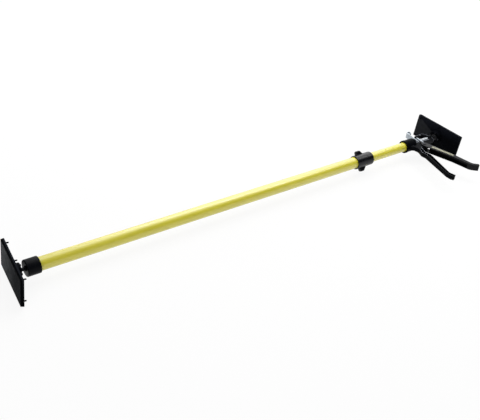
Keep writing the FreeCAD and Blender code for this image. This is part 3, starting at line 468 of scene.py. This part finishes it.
DEEP_BLACK = (0.0012, 0.0015, 0.0028)
COLLAR_BLACK = (0.0015, 0.0018, 0.0028)
PLATE_BLACK = (0.0012, 0.0014, 0.0022)
HANDLE_BLACK = (0.0014, 0.0017, 0.0026)
EVEN_RUN = (900, 900, 900)
# In the moulded blacks below, the edge share and pale set a painted edge highlight
FINISHES = {
    "tube_paint": yellow_paint(),
    "black_plastic": moulded_black("black_plastic", DEEP_BLACK, rough=0.25, shine=0.28, grain=1400,
                                   edge_highlight_share=0.9, round_off=0.0022, pale=0.45),
    "collar_plastic": moulded_black("collar_plastic", COLLAR_BLACK, rough=0.34, shine=0.06, grain=1300,
                                    edge_highlight_share=0.15),
    "plate_plastic": moulded_black("plate_plastic", PLATE_BLACK, rough=0.42, shine=0.01, grain=1200,
                                   edge_highlight_share=0.08, extra="painted_sheen"),
    "frame_plastic": moulded_black("frame_plastic", HANDLE_BLACK, rough=0.36, shine=0.02, grain=1500,
                                   edge_highlight_share=1.0, round_off=0.0030, pale=0.50, extra="cast"),
    "black_lever": moulded_black("black_lever", HANDLE_BLACK, rough=0.36, shine=0.15, grain=1800,
                                 edge_highlight_share=0.45, round_off=0.0016, pale=0.22),
    "grey_plastic": moulded_black("grey_plastic", (0.018, 0.0185, 0.020), rough=0.45, shine=0.2, grain=1500),
    "pad_rubber": pad_rubber(),
    "black_steel": blackened_steel(),
    "zinc_steel": zinc_plate("zinc_steel", (0.42, 0.46, 0.50), rough=0.30, run=(2200, 260, 2200)),
    "spring_steel": zinc_plate("spring_steel", (0.62, 0.64, 0.67), rough=0.26, run=EVEN_RUN),
    "dull_zinc": zinc_plate("dull_zinc", (0.036, 0.038, 0.043), rough=0.42, run=EVEN_RUN),
    "strip_film": strip_film(),
}

# Nodes whose finish differs from the one that their slot names
OWN_FINISH = {
    "foot_plate": "plate_plastic",
    "head_plate": "plate_plastic",
    "foot_retainer": "plate_plastic",
    "head_retainer": "plate_plastic",
    "head_frame": "frame_plastic",
    "foot_collar": "collar_plastic",
    "foot_screws": "dull_zinc",
    "head_screws": "dull_zinc",
    "trigger_pin": "dull_zinc",
    "pin_clip": "dull_zinc",
}
for row in frame["record"]["subparts"]:
    data = nodes[row["node"]].data
    data.materials.clear()
    data.materials.append(FINISHES[OWN_FINISH.get(row["node"], row["material_slot"])])


def soft_shading():
    """Joins the facets of a turned or filleted face: faces shade smoothly, steeper edges stay crisp."""
    crisp_angle = math.radians(28)
    merge_distance = 2e-6
    group = bpy.data.node_groups.new("soft_shading", "GeometryNodeTree")
    for way in ("INPUT", "OUTPUT"):
        group.interface.new_socket("Geometry", in_out=way, socket_type="NodeSocketGeometry")
    start = group.nodes.new("NodeGroupInput")
    merge = group.nodes.new("GeometryNodeMergeByDistance")
    merge.inputs["Distance"].default_value = merge_distance
    faces = group.nodes.new("GeometryNodeSetShadeSmooth")
    faces.domain = "FACE"
    faces.inputs["Shade Smooth"].default_value = True
    angle = group.nodes.new("GeometryNodeInputMeshEdgeAngle")
    sharp = group.nodes.new("FunctionNodeCompare")
    sharp.data_type = "FLOAT"
    sharp.operation = "GREATER_THAN"
    sharp.inputs[1].default_value = crisp_angle
    edges = group.nodes.new("GeometryNodeSetShadeSmooth")
    edges.domain = "EDGE"
    edges.inputs["Shade Smooth"].default_value = False
    end = group.nodes.new("NodeGroupOutput")
    group.links.new(start.outputs[0], merge.inputs[0])
    group.links.new(merge.outputs[0], faces.inputs[0])
    group.links.new(faces.outputs[0], edges.inputs[0])
    group.links.new(angle.outputs["Unsigned Angle"], sharp.inputs[0])
    group.links.new(sharp.outputs[0], edges.inputs["Selection"])
    group.links.new(edges.outputs[0], end.inputs[0])
    return group


smooth = soft_shading()
for thing in nodes.values():
    thing.modifiers.new("soft_shading", "NODES").node_group = smooth


def skin(points, ends=False):
    """Vertices and faces of a closed skin from a grid of points: u runs round and closes on itself.

    With ends, the first and the last v are each one point with triangles round it; otherwise v closes too.
    The enclosed volume tells which way the faces look, and they are turned outward."""
    n, m = points.shape[0], points.shape[1] - (2 if ends else 0)
    i = np.arange(n)[:, None]
    k = (i + 1) % n
    j = np.arange(m - 1 if ends else m)[None]
    quads = np.stack([i * m + j, k * m + j, k * m + (j + 1) % m, i * m + (j + 1) % m], -1).reshape(-1, 4)
    spots = points.reshape(-1, 3)
    faces = [quads]
    if ends:
        spots = np.concatenate([points[:, 1:-1].reshape(-1, 3), points[:1, 0], points[:1, -1]])
        faces.append(np.concatenate([k * m, i * m, np.full((n, 1), n * m)], 1))
        faces.append(np.concatenate([i * m + m - 1, k * m + m - 1, np.full((n, 1), n * m + 1)], 1))
    middle = spots.mean(0)
    a, b, c, d = (spots[quads[:, q]] - middle for q in range(4))
    volume = np.einsum("ij,ij->", np.cross(c - a, d - b), a + b + c + d)
    return spots, [f if volume > 0 else f[:, ::-1] for f in faces]


def piece(name, skins, body, node, slot):
    """One object from several skins, in the place of a node, on its body and with its finish."""
    count = np.cumsum([0] + [len(spots) for spots, _ in skins])
    faces = [row for (_, sets), start in zip(skins, count) for f in sets for row in (f + start).tolist()]
    mesh = bpy.data.meshes.new(name)
    mesh.from_pydata(np.concatenate([spots for spots, _ in skins]).tolist(), [], faces)
    mesh.shade_smooth()
    mesh.materials.append(FINISHES[slot])
    thing = bpy.data.objects.new(name, mesh)
    scene.collection.objects.link(thing)
    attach(thing, body)
    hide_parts(node)
    return thing


def ring_round(profile, count):
    """A profile of (x, radius) turned about the X axis: (x, r cos a, r sin a) for count angles a."""
    a = np.linspace(0, 2 * np.pi, count, endpoint=False)[:, None]
    x, r = np.asarray(profile, float).T
    return np.stack([np.broadcast_to(x, (count, len(x))), r * np.cos(a), r * np.sin(a)], -1)


def eased(corners, radius, steps=5):
    """A closed profile with each corner replaced by a quarter of an ellipse between the two sides."""
    p = np.asarray(corners, float)
    back, ahead = np.roll(p, 1, 0) - p, np.roll(p, -1, 0) - p
    back, ahead = (v / np.linalg.norm(v, axis=1)[:, None] * radius for v in (back, ahead))
    t = np.linspace(0, np.pi / 2, steps)[None, :, None]
    return (p[:, None] + back[:, None] * (1 - np.sin(t)) + ahead[:, None] * (1 - np.cos(t))).reshape(-1, 2)


def tube_skin(node, body):
    """A thin tube: the section of its wall, with eased corners, turned about X."""
    low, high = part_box(node)
    outside = high.z
    inside = outside - TUBE_WALL
    section = eased([(low.x, inside), (low.x, outside), (high.x, outside), (high.x, inside)], radius=0.0003)
    piece(node + "_skin", [skin(ring_round(section, count=192))], body, node, "tube_paint")


def coil(node, wire, turns, body):
    """Spring wire: a circle in the plane of out and side, carried along the helix (x, r cos a, r sin a).

    The pitch closes up over the last turn of each end."""
    per_turn, sides, closed_pitch = 48, 20, 0.32
    low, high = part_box(node)
    t = np.linspace(0, 1, turns * per_turn)
    open_share = np.clip(np.minimum(t, 1 - t) * turns, 0, 1)
    pitch = closed_pitch + (1 - closed_pitch) * open_share * open_share * (3 - 2 * open_share)
    along = np.concatenate([[0], np.cumsum((pitch[1:] + pitch[:-1]) / 2)])
    a = 2 * np.pi * turns * t
    out = np.stack([0 * a, np.cos(a), np.sin(a)], -1)
    path = out * (high.z - wire / 2)
    path[:, 0] = low.x + wire / 2 + along / along[-1] * (high.x - low.x - wire)
    run = np.gradient(path, axis=0)
    run /= np.linalg.norm(run, axis=1)[:, None]
    side = np.cross(run, out)
    b = np.linspace(0, 2 * np.pi, sides, endpoint=False)[:, None, None]
    ring = path + (out * np.cos(b) + side * np.sin(b)) * wire / 2
    tips = np.broadcast_to(path[[0, -1]], (sides, 2, 3))
    grid = np.concatenate([tips[:, :1], ring, tips[:, 1:]], 1)
    return piece(node + "_coil", [skin(grid, ends=True)], body, node, "spring_steel")


def swivel(name, roll):
    """A swivel plate's own frame at rest, from its joints: the ball's place and the turn out of that frame.

    In its own frame the plate's contact face looks along minus X and its length runs along Y. It is rolled
    about X, tipped about Y and turned about Z. The tip joint's axis is the turned Y, and the middle of its
    range is where the tip is 0."""
    tip_joint = joints[name + "_tip"]
    x, y, _ = tip_joint["axis"]
    turn = math.atan2(-x, y)
    tip = -math.radians(sum(tip_joint["range_deg"]) / 2)
    way = Matrix.Rotation(turn, 3, "Z") @ Matrix.Rotation(tip, 3, "Y") @ Matrix.Rotation(roll, 3, "X")
    return np.array(tip_joint["pos_m"]), np.array(way)


def own_box(node, ball, way):
    """Lowest and highest corner of a node in a swivel plate's own frame."""
    points = np.array([v.co for v in nodes[node].data.vertices], float)
    own = (points - ball) @ way
    return own.min(0), own.max(0)


def pad_slab(half, face, back):
    """A pad's slab in its plate's own frame: a grid of points, and the border mark of each vertex.

    The points lie round a rectangle with round corners (u), brought in by an inset: from the middle of the
    contact face to its edge, over two rounded edges and to the middle of the back (v). A point of the
    outline is a corner centre plus the corner radius along its angle. The mark is 1 within the border of
    the face and over its edges, and 0 elsewhere on the face."""
    count = 256
    corner, least_corner, soft, border = 0.0025, 0.0004, 0.0009, 0.0033
    face_insets, back_inset = (0.036, 0.024, 0.012, 0.0036, 0.0030, 0.0016), 0.012
    angle = np.linspace(0, 2 * np.pi, count, endpoint=False) + np.pi / count
    way = np.stack([np.cos(angle), np.sin(angle)], -1)[:, None]
    bend = np.linspace(0, np.pi / 2, 6)
    closing = soft * (1 - np.sin(bend))
    opening = soft * (1 - np.cos(bend))
    inset = np.concatenate([face_insets, closing, opening, [back_inset]])
    level = np.concatenate([np.full(len(face_insets), face), face + opening, back - closing, [back]])
    round_off = np.clip(corner - inset, least_corner, None)[None, :, None]
    flat = np.sign(way) * (half - inset[None, :, None] - round_off) + way * round_off
    slab = np.concatenate([np.broadcast_to(level[None, :, None], flat.shape[:2] + (1,)), flat], -1)
    middles = np.broadcast_to(np.array(((face, 0, 0), (back, 0, 0))), (count, 2, 3))
    grid = np.concatenate([middles[:, :1], slab, middles[:, 1:]], 1)
    marks = np.where(inset > border, 0.0, 1.0)
    return grid, np.concatenate([np.tile(marks, count), (0.0, 1.0)])


def nub_dome(back, top):
    """A nub as a profile turned about X: its root stands inside the slab, and its top has a rounded rim."""
    root, soft = 0.001, 0.001
    bend = np.linspace(0, np.pi / 2, 6)
    rim = np.stack([top - soft * (1 - np.sin(bend)), NUB_RADIUS - soft * (1 - np.cos(bend))], -1)
    side = [(back - root, 0), (back - root, NUB_RADIUS)]
    return ring_round(np.concatenate([side, rim, [(top, 0)]]), count=24)


def pad_skin(name, roll):
    """The rubber facing of a swivel plate with its six nubs, sized by the plate's and the pad's own nodes.

    The border attribute is the slab's border mark, and 1 on the nubs."""
    ball, way = swivel(name, roll)
    pad_low, pad_high = own_box(name + "_pad", ball, way)
    back = own_box(name + "_plate", ball, way)[0][0]
    slab, border = pad_slab(half=pad_high[1:], face=pad_low[0], back=back)
    nub = nub_dome(back, top=pad_high[0])
    grids = [slab] + [nub + (0, y, z) for y in NUB_ALONG for z in NUB_ACROSS]
    skins = [skin(grid @ way.T + ball, ends=True) for grid in grids]
    marks = [border] + [np.ones(len(spots)) for spots, _ in skins[1:]]
    thing = piece(name + "_pad_skin", skins, name, name + "_pad", "pad_rubber")
    thing.data.attributes.new("border", "FLOAT", "POINT").data.foreach_set("value", np.concatenate(marks))


def studio_floor():
    """A large pale sheet under the prop, as a grid of squares in X and Y at the prop's lowest height."""
    near, far, count = -9, 10, 20
    side = np.linspace(near, far, count)
    u, v = np.meshgrid(side, side, indexing="ij")
    points = np.stack([u, v, np.full_like(u, cad_box[0].z)], -1).reshape(-1, 3)
    i = np.arange(count - 1)[:, None] * count + np.arange(count - 1)
    faces = np.stack([i, i + count, i + count + 1, i + 1], -1).reshape(-1, 4)
    mesh = bpy.data.meshes.new("floor")
    mesh.from_pydata(points.tolist(), [], faces.tolist())
    mesh.materials.append(floor_white())
    floor = bpy.data.objects.new("floor", mesh)
    scene.collection.objects.link(floor)


tube_skin("outer_tube", "lower")
tube_skin("inner_tube", "upper")
return_coil = coil("return_spring", wire=0.003, turns=8, body="upper")
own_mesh(return_coil)
release_coil = coil("release_spring", wire=0.0016, turns=2, body="upper")
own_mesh(release_coil)
pad_skin("foot", roll=0)
pad_skin("head", roll=HEAD_ROLL)
studio_floor()
